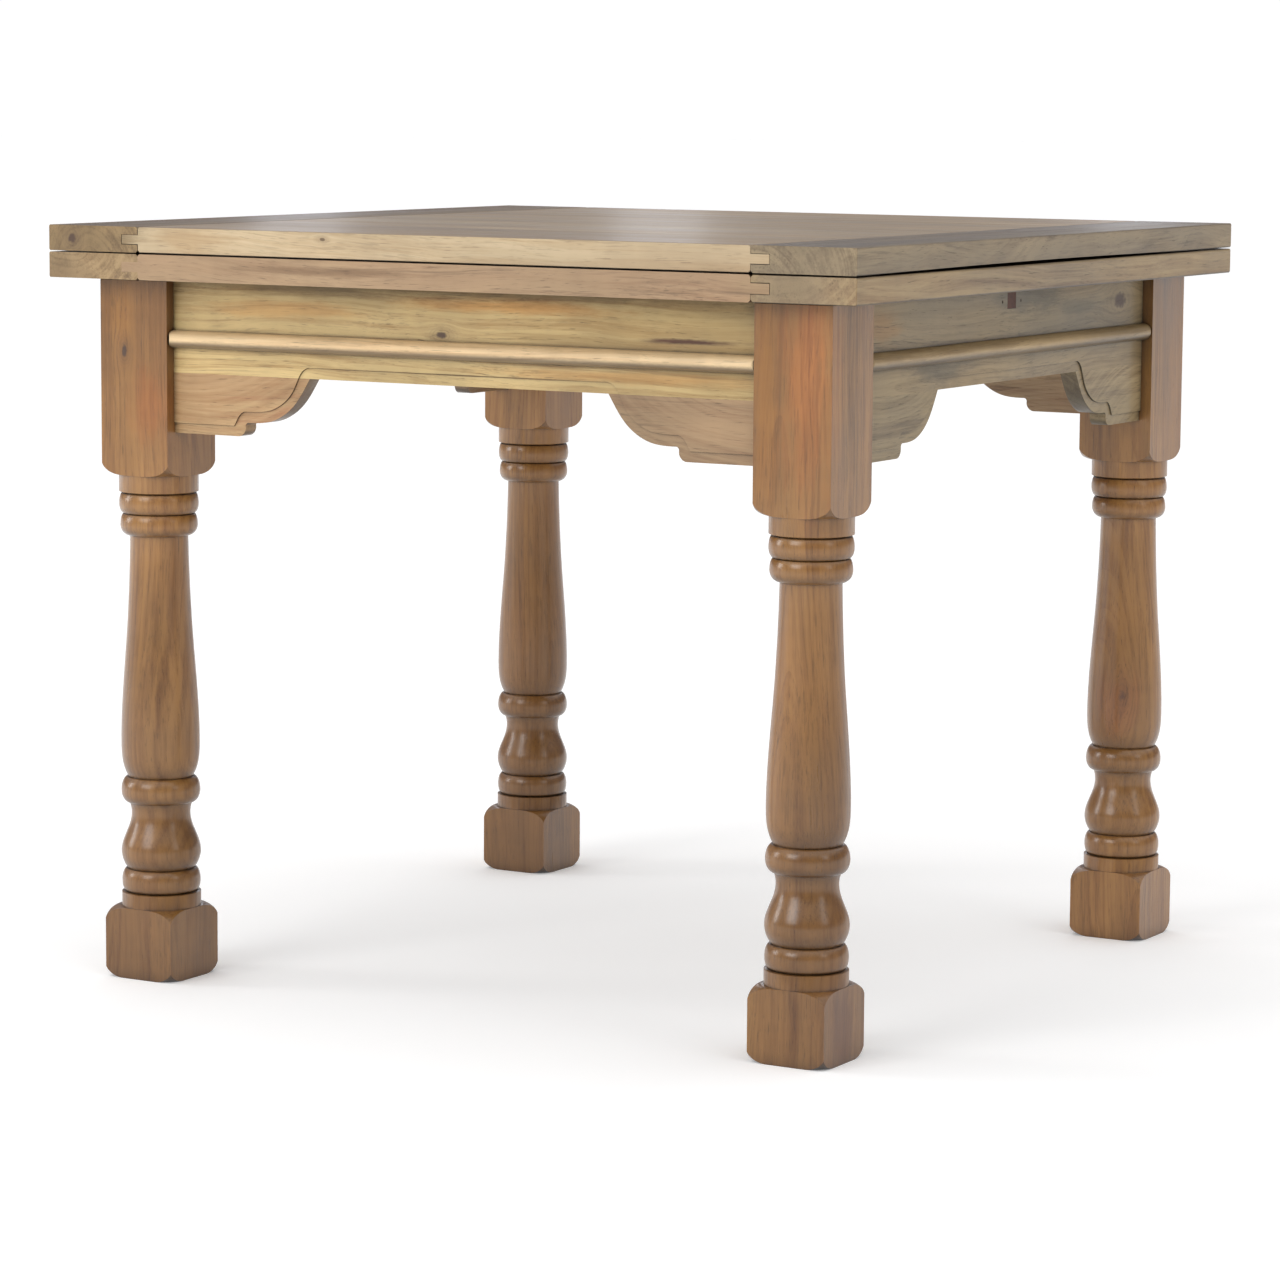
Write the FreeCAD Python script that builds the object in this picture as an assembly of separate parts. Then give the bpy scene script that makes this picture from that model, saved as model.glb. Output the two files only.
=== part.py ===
"""Fold-over dining table in mango wood.

Two equal leaves lie face to face on a four-legged frame. The top slides sideways along a
centre rail by half its length, then the upper leaf turns over on three butt hinges and lies
beside the lower leaf, so the table becomes twice as long.

Frame of the model: +Z up, origin on the floor under the middle of the closed top, +X along
the slide, millimetres throughout.
"""

import FreeCAD
import Part

import math
import os

V = FreeCAD.Vector

# ---- overall sizes ---------------------------------------------------------------------
top_length = 925.0            # along X, one leaf
top_width = 885.0             # along Y
table_height = 780.0
leaf_thickness = 26.0
leaf_gap = 1.4                # between the two closed leaves
seat_clearance = 0.3          # lower leaf over the frame
overhang_x = 40.5             # leaf past the outer faces of the legs
overhang_y = 31.5

# ---- leaves ----------------------------------------------------------------------------
breadboard_width = 111.0
tongue_length = 20.0
tongue_thickness = 10.0
vee_groove = 2.2              # chamfer on each side of a breadboard joint
arris = 1.2                   # eased outer edges of the leaves
dried_hollow = 2.0            # underside of the upper right end board, pulled up by drying
hollow_length = 740.0
hollow_middle = -50.0         # along Y

# ---- legs ------------------------------------------------------------------------------
leg_size = 83.0
foot_height = 58.0            # square part of the foot, below its rounded shoulder
shoulder_rise = 16.0
foot_base_radius = 47.0
foot_base_rise = 16.0
block_margin = 30.0           # full square block below the brackets
leg_top_chamfer = 2.0
leg_flat = 15.0               # inner corner cut flat for the corner block
collar_radius = 41.0

# Turning between the two square blocks: radius and height above the foot's shoulder, for
# a turning of the nominal length on a leg of the nominal size.
nominal_turning = 451.0
nominal_leg = 83.0
lower_collar_rise = 14.5
lower_ring = [(36.8, 15.5), (40.6, 27.0), (34.8, 39.6)]
vase = [(34.8, 39.6), (39.0, 47.0), (41.1, 58.5), (38.0, 71.5), (32.6, 85.0), (30.4, 96.5),
        (32.6, 108.5)]
upper_ring = [(32.6, 108.5), (40.8, 121.5), (33.6, 136.0)]
baluster = [(33.6, 136.0), (38.8, 150.0), (40.6, 172.0), (39.5, 210.0), (36.8, 250.0),
            (33.8, 290.0), (31.4, 335.0), (29.9, 387.5)]
first_bead = [(29.9, 387.5), (39.8, 399.0), (35.8, 410.6)]
second_bead = [(35.8, 410.6), (40.9, 421.0), (37.5, 432.0)]
upper_collar_rise = 433.5

# ---- aprons and brackets ---------------------------------------------------------------
apron_setback = 12.0
apron_thickness = 20.0
apron_height = 94.5
bracket_drop = 61.5
bracket_reach = 166.0         # where the scroll meets the apron, from the leg
# Contour of a bracket and of its sunk margin: distance from the leg, drop below the apron.
bracket_foot = 79.0
bracket_step = [(79.0, 61.5), (85.6, 58.2), (87.6, 51.0)]
bracket_cove = [(87.6, 51.0), (88.8, 48.2), (92.0, 47.4)]
bracket_scroll = [(92.0, 47.4), (106.0, 47.0), (119.0, 44.8), (131.0, 39.8), (142.0, 32.2),
                  (150.5, 23.4), (158.0, 12.9), (166.0, 0.0)]
margin_foot = (74.5, 51.0)
margin_step = [(74.5, 51.0), (78.8, 43.5), (83.0, 38.4), (91.0, 36.2)]
margin_scroll = [(91.0, 36.2), (107.0, 35.6), (119.0, 33.6), (131.0, 28.2), (143.3, 17.6),
                 (150.0, 6.5), (156.0, -5.0), (166.0, -11.2)]
margin_width = 11.2
margin_depth = 1.6
moulding_height = 18.0
moulding_rise = 25.3          # moulding above the apron's lower edge
moulding_play = 0.3           # moulding behind the faces of the legs
moulding_end_radius = 7.0

# ---- slide -----------------------------------------------------------------------------
rail_width = 20.0
rail_height = 22.0
rail_play = 1.0               # guides beside and under the rail
cleat_length = 25.0
cleat_half_width = 32.0
cleat_height = 34.0
guide_width = 22.0
keeper_length = 60.0
keeper_thickness = 12.0
stop_play = 0.5
nail_radius = 1.6
nail_spread = 21.5
nail_drop = 14.5
nail_length = 40.0

# ---- corner blocks, bolts and screws ---------------------------------------------------
block_height = 70.0
block_thickness = 28.0
block_lift = 10.0             # block above the apron's lower edge
bolt_radius = 4.0
bolt_play = 0.3
bolt_grip = 34.0              # bolt inside the leg
bolt_tail = 16.0              # bolt past the block
bolt_spread = 34.0
washer_radius = 11.0
washer_thickness = 1.6
nut_across_flats = 13.0
nut_height = 6.5
screw_radius = 2.0
screw_head_radius = 4.0
screw_length = 30.0
screw_play = 0.1
screw_sink = 4.0              # head of a block screw below the block's face
block_screw_inset = 20.0
block_screw_spread = 56.0
leaf_screw_bite = 10.0        # guide screws inside the lower leaf

# ---- hinges ----------------------------------------------------------------------------
hinge_count = 3
hinge_length = 72.0
hinge_inset = 140.0           # middle of the first and last hinge from the leaf's sides
hinge_stand_off = 0.3         # hinge axis outside the edge of the leaves
knuckle_radius = 3.0
knuckle_gap = 0.4
cove_play = 0.5               # leaves around the knuckles
pin_radius = 1.3
pin_play = 0.3
flap_thickness = 2.0
flap_height = 20.0
hinge_screw_radius = 1.4
hinge_screw_head = 2.8
hinge_screw_length = 14.0
hinge_screw_rise = 12.0
hinge_screw_spread = 48.0

# ---- levels and faces that follow ------------------------------------------------------
half_length = top_length / 2
half_width = top_width / 2
seam_level = table_height - leaf_thickness - leaf_gap / 2
upper_leaf_bottom = table_height - leaf_thickness
lower_leaf_bottom = table_height - 2 * leaf_thickness - leaf_gap
frame_top = lower_leaf_bottom - seat_clearance
apron_bottom = frame_top - apron_height
leg_outer_x = half_length - overhang_x
leg_outer_y = half_width - overhang_y
leg_inner_x = leg_outer_x - leg_size
leg_inner_y = leg_outer_y - leg_size
leg_centre = V(leg_outer_x - leg_size / 2, leg_outer_y - leg_size / 2, 0)
apron_face_x = leg_outer_x - apron_setback
apron_face_y = leg_outer_y - apron_setback
apron_back_x = apron_face_x - apron_thickness
apron_back_y = apron_face_y - apron_thickness
foot_top = foot_height + shoulder_rise
block_start = apron_bottom - bracket_drop - block_margin
block_low = block_start - shoulder_rise
travel = half_length
cleat_inner_x = apron_back_x - cleat_length
rail_bottom = frame_top - rail_height
keeper_top = rail_bottom - rail_play
keeper_bottom = keeper_top - keeper_thickness
guide_near = rail_width / 2 + rail_play
guide_far = guide_near + guide_width
guide_start = -cleat_inner_x + stop_play
guide_length = 2 * cleat_inner_x - travel - 2 * stop_play
flat_distance = (leg_size - leg_flat) / math.sqrt(2)
block_far = flat_distance + block_thickness
block_middle = apron_bottom + block_lift + block_height / 2
bolt_levels = (block_middle - bolt_spread / 2, block_middle + bolt_spread / 2)
hinge_x = -half_length - hinge_stand_off
hinge_span = top_width - 2 * hinge_inset
hinge_places = [hinge_span * (i / (hinge_count - 1) - 0.5) for i in range(hinge_count)]
diagonal = V(1, 1, 0).normalize()

CORNERS = {"front_left": (-1, -1), "front_right": (1, -1),
           "back_left": (-1, 1), "back_right": (1, 1)}
# side: turn about Z, position of the apron's face, half length, names of its two ends
SIDES = {
    "front": (0, V(0, -apron_face_y, 0), leg_inner_x, ("left", "right")),
    "right": (90, V(apron_face_x, 0, 0), leg_inner_y, ("front", "back")),
    "back": (180, V(0, apron_face_y, 0), leg_inner_x, ("right", "left")),
    "left": (-90, V(-apron_face_x, 0, 0), leg_inner_y, ("back", "front")),
}


# ---- helpers ---------------------------------------------------------------------------
def box(x0, x1, y0, y1, z0, z1):
    return Part.makeBox(x1 - x0, y1 - y0, z1 - z0, V(x0, y0, z0))


def cylinder(radius, length, start, direction):
    return Part.makeCylinder(radius, length, start, direction)


def prism(points, push):
    outline = Part.makePolygon(list(points) + [points[0]])
    return Part.Face(outline).extrude(push)


def smooth(points, start=None, end=None):
    curve = Part.BSplineCurve()
    if start is None:
        curve.interpolate(points)
    else:
        curve.interpolate(Points=points, InitialTangent=start, FinalTangent=end)
    return curve.toShape()


def arc(a, middle, b):
    return Part.Arc(a, middle, b).toShape()


def moved(shape, offset):
    copy = shape.copy()
    copy.translate(offset)
    return copy


def at_corner(shape, corner):
    """Copy of a piece made for the back right corner, mirrored to another corner."""
    sx, sy = CORNERS[corner]
    if sx < 0:
        shape = shape.mirror(V(0, 0, 0), V(1, 0, 0))
    if sy < 0:
        shape = shape.mirror(V(0, 0, 0), V(0, 1, 0))
    return shape


def at_side(shape, side):
    """Copy of a piece made along X with its outer face at Y = 0, set on one side."""
    angle, offset, _, _ = SIDES[side]
    copy = shape.copy()
    copy.rotate(V(0, 0, 0), V(0, 0, 1), angle)
    copy.translate(offset)
    return copy


def write(name, shapes):
    solids = [solid for shape in shapes for solid in shape.Solids]
    for solid in solids:
        if not solid.isValid() or solid.Volume <= 0:
            raise ValueError("bad solid in " + name)
    whole = solids[0] if len(solids) == 1 else Part.makeCompound(solids)
    whole.exportStep("parts/" + name + ".step")


def screw(start, direction, radius, head, length, grow=0.0):
    """Countersunk screw with its flat head at start; grow widens it into its own hole."""
    cone = Part.makeCone(head + grow, radius + grow, head - radius, start, direction)
    shaft = cylinder(radius + grow, length + grow, start, direction)
    return cone.fuse(shaft).removeSplitter()


def drilled(shape, places):
    """Shape with a hole for each (start, direction, radius, head, length) screw."""
    for place in places:
        hole = screw(*place, grow=screw_play)
        if shape.BoundBox.intersect(hole.BoundBox):
            shape = shape.cut(hole)
    return shape


# ---- legs ------------------------------------------------------------------------------
def turned_point(radius, rise):
    scale = (block_low - foot_top) / nominal_turning
    return V(radius * leg_size / nominal_leg, 0, foot_top + rise * scale)


def quarter(end, crest):
    """Quarter of an ellipse, flat where it leaves the crease and upright at the crest."""
    bulge = 0.5523
    curve = Part.BezierCurve()
    curve.setPoles([turned_point(*end),
                    turned_point(end[0] + bulge * (crest[0] - end[0]), end[1]),
                    turned_point(crest[0], crest[1] + bulge * (end[1] - crest[1])),
                    turned_point(*crest)])
    return curve.toShape()


def ring(points):
    """Rounded ring from crease to crest to crease."""
    low, crest, high = points
    return [quarter(low, crest), quarter(high, crest)]


def leg_outline():
    corner = leg_size / math.sqrt(2) + 1.0
    collar = collar_radius * leg_size / nominal_leg
    base = foot_base_radius * leg_size / nominal_leg
    shoulder = corner - 0.25 * (corner - collar)
    low_collar = turned_point(collar_radius, lower_collar_rise)
    high_collar = turned_point(collar_radius, upper_collar_rise)
    edges = [
        Part.makeLine(V(0, 0, 0), V(base, 0, 0)),
        arc(V(base, 0, 0), V(base + 0.75 * (corner - base), 0, 0.4 * foot_base_rise),
            V(corner, 0, foot_base_rise)),
        Part.makeLine(V(corner, 0, foot_base_rise), V(corner, 0, foot_height)),
        arc(V(corner, 0, foot_height), V(shoulder, 0, foot_height + 0.62 * shoulder_rise),
            V(collar, 0, foot_top)),
        Part.makeLine(V(collar, 0, foot_top), low_collar),
        Part.makeLine(low_collar, turned_point(*lower_ring[0])),
        *ring(lower_ring),
        smooth([turned_point(*p) for p in vase]),
        *ring(upper_ring),
        smooth([turned_point(*p) for p in baluster]),
        *ring(first_bead),
        *ring(second_bead),
        Part.makeLine(turned_point(*second_bead[-1]), high_collar),
        Part.makeLine(high_collar, V(collar, 0, block_low)),
        arc(V(collar, 0, block_low), V(shoulder, 0, block_low + 0.38 * shoulder_rise),
            V(corner, 0, block_start)),
        Part.makeLine(V(corner, 0, block_start), V(corner, 0, frame_top)),
        Part.makeLine(V(corner, 0, frame_top), V(0, 0, frame_top)),
        Part.makeLine(V(0, 0, frame_top), V(0, 0, 0)),
    ]
    return Part.Face(Part.Wire(edges))


def bolt_start(distance, level):
    """Point on a bolt's line, at a distance from the leg's axis towards the room."""
    return leg_centre - diagonal * distance + V(0, 0, level)


def leg():
    turning = leg_outline().revolve(V(0, 0, 0), V(0, 0, 1), 360)
    half = leg_size / 2
    blank = box(-half, half, -half, half, 0, frame_top)
    rim = [e for e in blank.Edges if e.BoundBox.ZMin > frame_top - 0.01]
    blank = blank.makeChamfer(leg_top_chamfer, rim)
    shape = turning.common(blank)
    tip = leg_flat - half
    corner = [V(-half - 1, tip + 1, apron_bottom), V(-half - 1, -half - 1, apron_bottom),
              V(tip + 1, -half - 1, apron_bottom)]
    shape = shape.cut(prism(corner, V(0, 0, frame_top)))
    shape = moved(shape, leg_centre)
    for level in bolt_levels:
        start = bolt_start(flat_distance + 2, level)
        shape = shape.cut(cylinder(bolt_radius + bolt_play, bolt_grip + 4, start, diagonal))
    return shape


# ---- corner blocks and their fixings ---------------------------------------------------
def block_screw_places():
    """Screws through both ends of the back right corner block into the aprons."""
    far_sum = leg_centre.x + leg_centre.y - block_far * math.sqrt(2)
    sink = block_screw_inset - screw_sink
    places = []
    for rise in (-block_screw_spread / 2, block_screw_spread / 2):
        level = block_middle + rise
        beside_x = V(apron_back_x - sink, far_sum - apron_back_x + block_screw_inset, level)
        beside_y = V(far_sum - apron_back_y + block_screw_inset, apron_back_y - sink, level)
        places.append((beside_x, V(1, 0, 0), screw_radius, screw_head_radius, screw_length))
        places.append((beside_y, V(0, 1, 0), screw_radius, screw_head_radius, screw_length))
    return places


def corner_block():
    near_sum = leg_centre.x + leg_centre.y - flat_distance * math.sqrt(2)
    far_sum = near_sum - block_thickness * math.sqrt(2)
    low = apron_bottom + block_lift
    points = [V(apron_back_x, near_sum - apron_back_x, low),
              V(near_sum - apron_back_y, apron_back_y, low),
              V(far_sum - apron_back_y, apron_back_y, low),
              V(apron_back_x, far_sum - apron_back_x, low)]
    block = prism(points, V(0, 0, block_height))
    for level in bolt_levels:
        start = bolt_start(block_far + 1, level)
        hole = cylinder(bolt_radius + bolt_play, block_thickness + 2, start, diagonal)
        block = block.cut(hole)
    block = drilled(block, block_screw_places())
    for start, direction, _, head, _ in block_screw_places():
        well = cylinder(head + 0.6, 3 * screw_sink, start, direction * -1)
        block = block.cut(well)
    return block


def on_bolts(maker):
    return [maker(level) for level in bolt_levels]


def bolt(level):
    length = bolt_grip + block_thickness + bolt_tail
    return cylinder(bolt_radius, length, bolt_start(block_far + bolt_tail, level), diagonal)


def bolt_bore(level):
    reach = block_far + bolt_tail
    return cylinder(bolt_radius + 0.1, bolt_tail + 1, bolt_start(reach, level), diagonal)


def washer(level):
    start = bolt_start(block_far + washer_thickness, level)
    return cylinder(washer_radius, washer_thickness, start, diagonal).cut(bolt_bore(level))


def nut(level):
    radius = nut_across_flats / math.sqrt(3)
    angles = [math.radians(60 * i) for i in range(6)]
    body = prism([V(radius * math.cos(a), radius * math.sin(a), 0) for a in angles],
                 V(0, 0, nut_height))
    start = bolt_start(block_far + washer_thickness + nut_height, level)
    body.Placement = FreeCAD.Placement(start, FreeCAD.Rotation(V(0, 0, 1), diagonal))
    return body.cut(bolt_bore(level))


# ---- aprons, brackets and mouldings ----------------------------------------------------
def contour_point(half, away, drop, depth):
    return V(-half + away, depth, apron_bottom - drop)


def margin_cutter(half):
    """Block of material taken off the face below the margin line, left end of a side."""
    depth = -1.0

    def at(point):
        return contour_point(half, point[0], point[1], depth)

    end = V(0, depth, apron_bottom + margin_width)
    floor = apron_bottom - bracket_drop - 5
    edges = [
        Part.makeLine(at((-1.0, margin_foot[1])), at(margin_foot)),
        smooth([at(p) for p in margin_step]),
        smooth([at(p) for p in margin_scroll]),
        Part.makeLine(at(margin_scroll[-1]), end),
        Part.makeLine(end, V(0, depth, floor)),
        Part.makeLine(V(0, depth, floor), V(-half - 1, depth, floor)),
        Part.makeLine(V(-half - 1, depth, floor), at((-1.0, margin_foot[1]))),
    ]
    return Part.Face(Part.Wire(edges)).extrude(V(0, margin_depth - depth, 0))


def both_ends(shape):
    return [shape, shape.mirror(V(0, 0, 0), V(1, 0, 0))]


def apron(side):
    half = SIDES[side][2]
    board = box(-half, half, 0, apron_thickness, apron_bottom, frame_top)
    for cutter in both_ends(margin_cutter(half)):
        board = board.cut(cutter)
    if side in ("left", "right"):
        notch = rail_width / 2
        board = board.cut(box(-notch, notch, -1, apron_thickness + 1, rail_bottom,
                              frame_top + 1))
    board = at_side(board, side)
    for corner in CORNERS:
        for place in block_screw_places():
            hole = at_corner(screw(*place, grow=screw_play), corner)
            if board.BoundBox.intersect(hole.BoundBox):
                board = board.cut(hole)
    for nail in nails(screw_play):
        if board.BoundBox.intersect(nail.BoundBox):
            board = board.cut(nail)
    return board


def bracket(half):
    """Bracket at the left end of a side, glued under the apron."""
    def at(point):
        return contour_point(half, point[0], point[1], 0)

    edges = [
        Part.makeLine(at((0, 0)), at((0, bracket_drop))),
        Part.makeLine(at((0, bracket_drop)), at(bracket_step[0])),
        arc(*[at(p) for p in bracket_step]),
        arc(*[at(p) for p in bracket_cove]),
        smooth([at(p) for p in bracket_scroll]),
        Part.makeLine(at((bracket_reach, 0)), at((0, 0))),
    ]
    shape = Part.Face(Part.Wire(edges)).extrude(V(0, apron_thickness, 0))
    return shape.cut(margin_cutter(half))


def moulding(half):
    """Half-round bead between two legs, rounded back at its ends."""
    rise = apron_setback - moulding_play
    middle = apron_bottom + moulding_rise + moulding_height / 2
    ellipse = Part.Ellipse(V(0, 0, 0), max(rise, moulding_height / 2),
                           min(rise, moulding_height / 2))
    section = Part.Face(Part.Wire(ellipse.toShape())).extrude(V(0, 0, 2 * half))
    if rise >= moulding_height / 2:
        section.rotate(V(0, 0, 0), V(0, 0, 1), 90)
    section.rotate(V(0, 0, 0), V(0, 1, 0), 90)
    section = moved(section, V(-half, 0, middle))
    plan = box(-half, half, -rise - 1, 0, middle - moulding_height, middle + moulding_height)
    corners = [e for e in plan.Edges
               if e.BoundBox.YMax < -rise and e.BoundBox.ZLength > moulding_height]
    plan = plan.makeFillet(moulding_end_radius, corners)
    return section.common(plan)


# ---- slide -----------------------------------------------------------------------------
def nails(grow=0.0):
    """Nails through both end aprons into the cleats."""
    level = frame_top - nail_drop
    found = []
    for sign in (-1, 1):
        for y in (-nail_spread, nail_spread):
            start = V(sign * apron_face_x, y, level)
            found.append(cylinder(nail_radius + grow, nail_length + grow, start,
                                  V(-sign, 0, 0)))
    return found


def cleat(sign):
    """Forked block that carries one end of the rail and stops the slide."""
    low = frame_top - cleat_height
    half = rail_width / 2
    block = box(cleat_inner_x, apron_back_x, -cleat_half_width, cleat_half_width, low,
                frame_top - 2)
    block = block.cut(box(cleat_inner_x - 1, apron_back_x + 1, -half, half, rail_bottom,
                          frame_top))
    if sign < 0:
        block = block.mirror(V(0, 0, 0), V(1, 0, 0))
    for nail in nails(screw_play):
        block = block.cut(nail)
    return block


def keeper_starts():
    inset = 10.0
    return (guide_start + inset, guide_start + guide_length - inset - keeper_length)


def guide_screw_places():
    """Screws up through the keepers and guides into the lower leaf."""
    line = (guide_near + guide_far) / 2
    long_screw = lower_leaf_bottom + leaf_screw_bite - keeper_bottom
    short_screw = lower_leaf_bottom + leaf_screw_bite - keeper_top
    places = []
    for y in (-line, line):
        for start in keeper_starts():
            for x in (start + 0.25 * keeper_length, start + 0.75 * keeper_length):
                places.append((V(x, y, keeper_bottom), V(0, 0, 1), screw_radius,
                               screw_head_radius, long_screw))
        places.append((V(guide_start + guide_length / 2, y, keeper_top), V(0, 0, 1),
                       screw_radius, screw_head_radius, short_screw))
    return places


def guide(sign):
    near, far = sorted((sign * guide_near, sign * guide_far))
    bar = box(guide_start, guide_start + guide_length, near, far, keeper_top,
              lower_leaf_bottom)
    return drilled(bar, guide_screw_places())


def keeper(start):
    plate = box(start, start + keeper_length, -guide_far, guide_far, keeper_bottom,
                keeper_top)
    return drilled(plate, guide_screw_places())


# ---- leaves ----------------------------------------------------------------------------
def eased(shape, size, near):
    edges = [e for e in shape.Edges if near(e.BoundBox)]
    return shape.makeChamfer(size, edges)


def breadboard(bottom):
    """Right-hand end board, grooved over the panel's tongue."""
    x0 = half_length - breadboard_width
    top = bottom + leaf_thickness
    middle = bottom + leaf_thickness / 2
    board = box(x0, half_length, -half_width, half_width, bottom, top)
    board = eased(board, arris, lambda b: b.XMin > x0 + 1 and b.YLength > 1)
    board = eased(board, vee_groove, lambda b: b.XMax < x0 + 0.01 and b.YLength > 1)
    return board.cut(box(x0 - 1, x0 + tongue_length, -half_width - 1, half_width + 1,
                         middle - tongue_thickness / 2, middle + tongue_thickness / 2))


def hollowed_breadboard(bottom):
    """Right end board of the upper leaf, its underside slightly arched along Y."""
    radius = hollow_length ** 2 / (8 * dried_hollow)
    start = V(half_length - breadboard_width - 1, hollow_middle,
              bottom + dried_hollow - radius)
    arch = cylinder(radius, breadboard_width + 2, start, V(1, 0, 0))
    return breadboard(bottom).cut(arch)


def panel(bottom):
    x1 = half_length - breadboard_width
    top = bottom + leaf_thickness
    middle = bottom + leaf_thickness / 2
    board = box(-x1, x1, -half_width, half_width, bottom, top)
    board = eased(board, vee_groove, lambda b: abs(b.Center.x) > x1 - 0.01 and b.YLength > 1)
    reach = x1 + tongue_length
    tongue = box(-reach, reach, -half_width, half_width, middle - tongue_thickness / 2,
                 middle + tongue_thickness / 2)
    return board.fuse(tongue).removeSplitter()


def hinge_relief(y, upper):
    """Mortise for one flap and cove for the knuckles."""
    low, high = flap_levels(upper)
    recess = box(-half_length - 1, -half_length + flap_thickness, y - hinge_length / 2,
                 y + hinge_length / 2, low, high)
    start = V(hinge_x, y - hinge_length / 2 - cove_play, seam_level)
    cove = cylinder(knuckle_radius + cove_play, hinge_length + 2 * cove_play, start,
                    V(0, 1, 0))
    return recess.fuse(cove)


def flap_levels(upper):
    if upper:
        return seam_level, seam_level + flap_height
    return seam_level - flap_height, seam_level


def hinged_breadboard(bottom, upper):
    board = breadboard(bottom).mirror(V(0, 0, 0), V(1, 0, 0))
    for y in hinge_places:
        board = board.cut(hinge_relief(y, upper))
    return drilled(board, hinge_screw_places(upper))


# ---- hinges ----------------------------------------------------------------------------
def hinge_screw_places(upper, hinges=None):
    sign = 1 if upper else -1
    level = seam_level + sign * hinge_screw_rise
    places = []
    for y in hinge_places if hinges is None else hinges:
        for shift in (-hinge_screw_spread / 2, hinge_screw_spread / 2):
            places.append((V(-half_length, y + shift, level), V(1, 0, 0),
                           hinge_screw_radius, hinge_screw_head, hinge_screw_length))
    return places


def knuckle_spans(y, upper):
    """Lengths of the barrel that belong to the upper or to the lower flap."""
    third = hinge_length / 4
    start = y - hinge_length / 2
    end = y + hinge_length / 2
    if upper:
        return [(start + third + knuckle_gap, end - third - knuckle_gap)]
    return [(start, start + third), (end - third, end)]


def hinge_flap(y, upper):
    sign = 1 if upper else -1
    low, high = flap_levels(upper)
    plate = box(-half_length, -half_length + flap_thickness, y - hinge_length / 2,
                y + hinge_length / 2, low, high)
    clearing = knuckle_radius + knuckle_gap
    for start, end in knuckle_spans(y, not upper):
        first, last = sorted((seam_level, seam_level + sign * clearing))
        plate = plate.cut(box(-half_length - 1, -half_length + flap_thickness + 1,
                              start - knuckle_gap, end + knuckle_gap, first, last))
    bore = pin_radius + (pin_play if upper else 0.05)
    for start, end in knuckle_spans(y, upper):
        barrel = cylinder(knuckle_radius, end - start, V(hinge_x, start, seam_level),
                          V(0, 1, 0))
        plate = plate.fuse(barrel)
    plate = plate.removeSplitter()
    hole = cylinder(bore, hinge_length + 2, V(hinge_x, y - hinge_length / 2 - 1, seam_level),
                    V(0, 1, 0))
    return drilled(plate.cut(hole), hinge_screw_places(upper, [y]))


def hinge_pin(y):
    start = V(hinge_x, y - hinge_length / 2 + 0.3, seam_level)
    return cylinder(pin_radius, hinge_length - 0.6, start, V(0, 1, 0))


# ---- whole table -----------------------------------------------------------------------
def write_frame():
    single = {"leg": leg(), "corner_block": corner_block()}
    for name, shape in single.items():
        for corner in CORNERS:
            write(name + "_" + corner, [at_corner(shape, corner)])
    block_screws = [screw(*place) for place in block_screw_places()]
    groups = {"leg_bolts": on_bolts(bolt), "leg_washers": on_bolts(washer),
              "leg_nuts": on_bolts(nut), "block_screws": block_screws}
    for name, shapes in groups.items():
        write(name, [at_corner(s, corner) for corner in CORNERS for s in shapes])
    for side in SIDES:
        half, ends = SIDES[side][2:]
        write("apron_" + side, [apron(side)])
        write("bead_moulding_" + side, [at_side(moulding(half), side)])
        for shape, end in zip(both_ends(bracket(half)), ends):
            write("bracket_" + side + "_" + end, [at_side(shape, side)])
    rail_end = rail_width / 2
    write("slide_rail", [box(-apron_face_x, apron_face_x, -rail_end, rail_end, rail_bottom,
                             frame_top)])
    write("rail_cleat_left", [cleat(-1)])
    write("rail_cleat_right", [cleat(1)])
    write("rail_nails", nails())


def write_lower_leaf():
    bottom = lower_leaf_bottom
    write("lower_panel", [drilled(panel(bottom), guide_screw_places())])
    write("lower_breadboard_right", [breadboard(bottom)])
    write("lower_breadboard_left", [hinged_breadboard(bottom, False)])
    write("guide_front", [guide(-1)])
    write("guide_back", [guide(1)])
    for name, start in zip(("keeper_left", "keeper_right"), keeper_starts()):
        write(name, [keeper(start)])
    write("guide_screws", [screw(*place) for place in guide_screw_places()])
    write("lower_hinge_screws", [screw(*place) for place in hinge_screw_places(False)])
    for number, y in enumerate(hinge_places, 1):
        write("lower_hinge_flap_%d" % number, [hinge_flap(y, False)])
        write("hinge_pin_%d" % number, [hinge_pin(y)])


def write_upper_leaf():
    bottom = upper_leaf_bottom
    write("upper_panel", [panel(bottom)])
    write("upper_breadboard_right", [hollowed_breadboard(bottom)])
    write("upper_breadboard_left", [hinged_breadboard(bottom, True)])
    write("upper_hinge_screws", [screw(*place) for place in hinge_screw_places(True)])
    for number, y in enumerate(hinge_places, 1):
        write("upper_hinge_flap_%d" % number, [hinge_flap(y, True)])


os.makedirs("parts", exist_ok=True)
write_frame()
write_lower_leaf()
write_upper_leaf()
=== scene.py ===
"""Looks of a fold-over dining table in mango wood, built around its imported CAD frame."""

import math
import random

import bpy
from bpy.props import (FloatProperty, FloatVectorProperty, IntProperty, PointerProperty)
from mathutils import Euler, Matrix, Vector


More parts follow.
